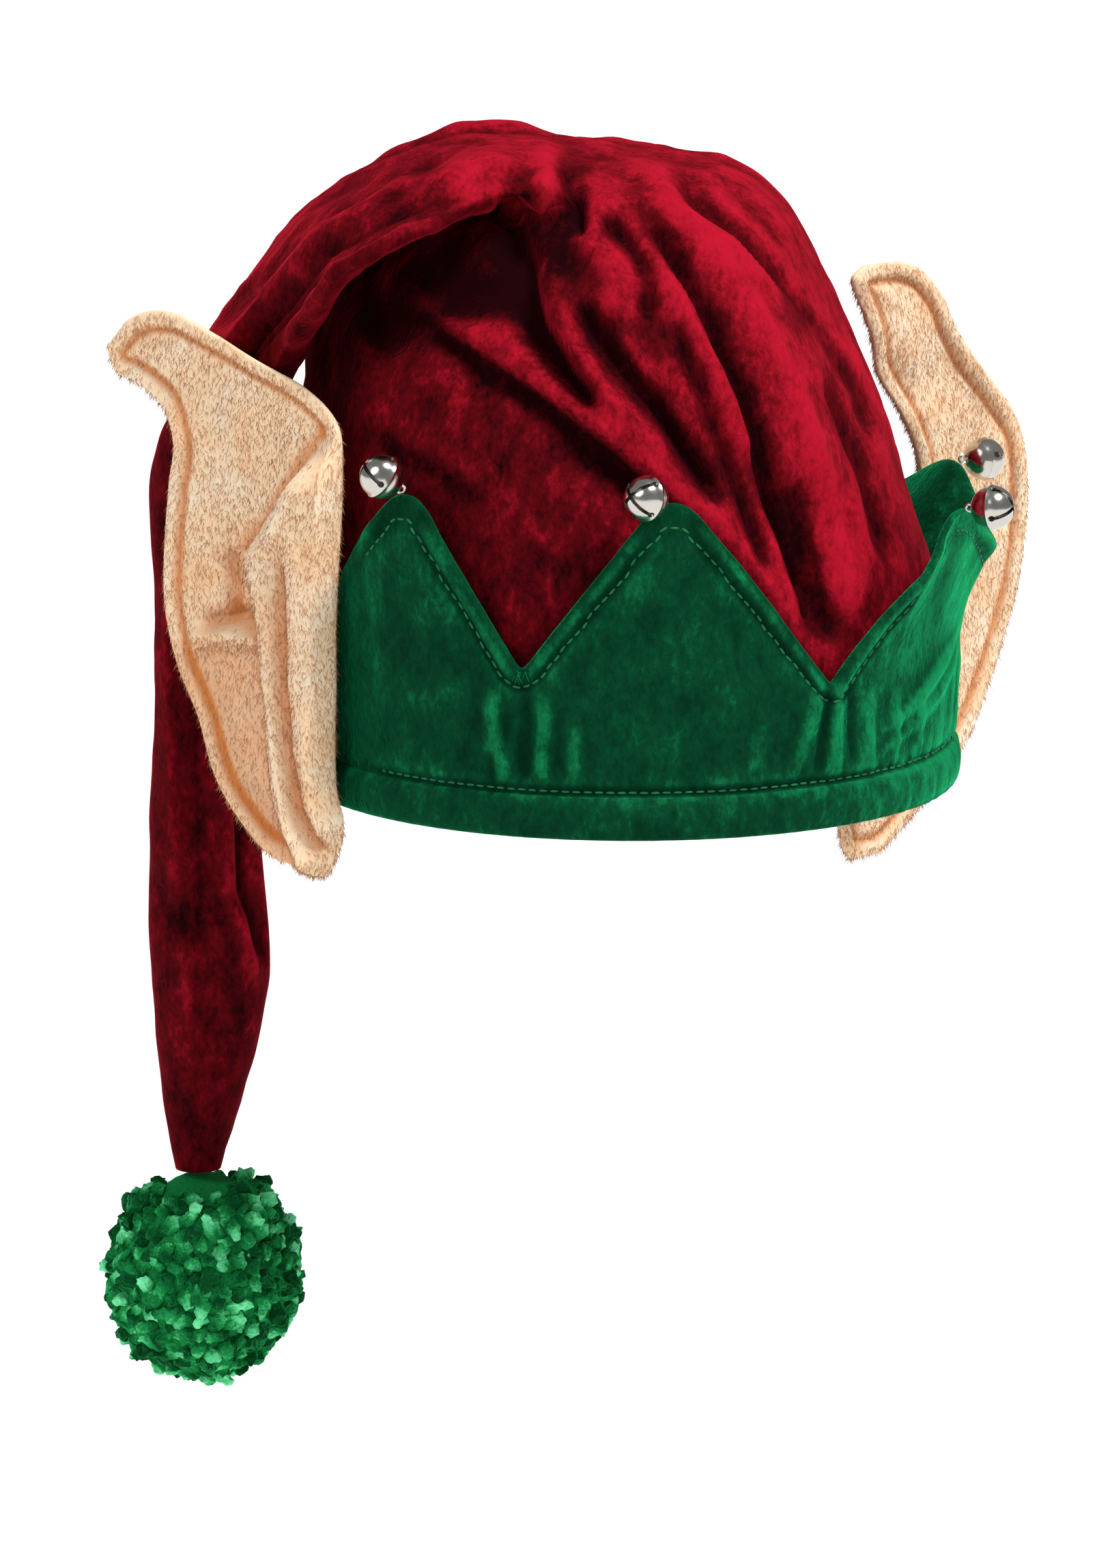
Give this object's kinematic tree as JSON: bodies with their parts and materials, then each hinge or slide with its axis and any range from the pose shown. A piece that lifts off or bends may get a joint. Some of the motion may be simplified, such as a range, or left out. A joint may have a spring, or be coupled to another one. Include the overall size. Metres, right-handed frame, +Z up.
{
  "type": "elf hat",
  "caption": "Red velvet elf hat with a long bent-over peak, pompom, pointed green cuff with jingle bells and plush elf ears.",
  "frame": {"origin": "centre of the head opening, in the plane of the hem's lower edge", "axes": "+Z up through the crown, -Y toward the side that shows three points, -X toward the hanging peak"},
  "size_m": [0.2754, 0.2162, 0.3766],
  "materials": {
    "red_velvet": "crushed polyester velvet",
    "green_velvet": "crushed polyester velvet",
    "peach_plush": "short-pile plush, padded and topstitched",
    "nickel": "bright nickel plate",
    "green_chenille": "chenille yarn locks"
  },
  "bodies": {
    "root": {"crown": "red_velvet", "cuff": "green_velvet", "ear_left": "peach_plush", "ear_right": "peach_plush", "bell_front": "nickel", "pellet_front": "nickel", "bell_right": "nickel", "pellet_right": "nickel", "bell_back_right": "nickel", "pellet_back_right": "nickel", "bell_back": "nickel", "pellet_back": "nickel", "bell_back_left": "nickel", "pellet_back_left": "nickel", "bell_left": "nickel", "pellet_left": "nickel", "pompom": "green_chenille"}
  },
  "joints": []
}
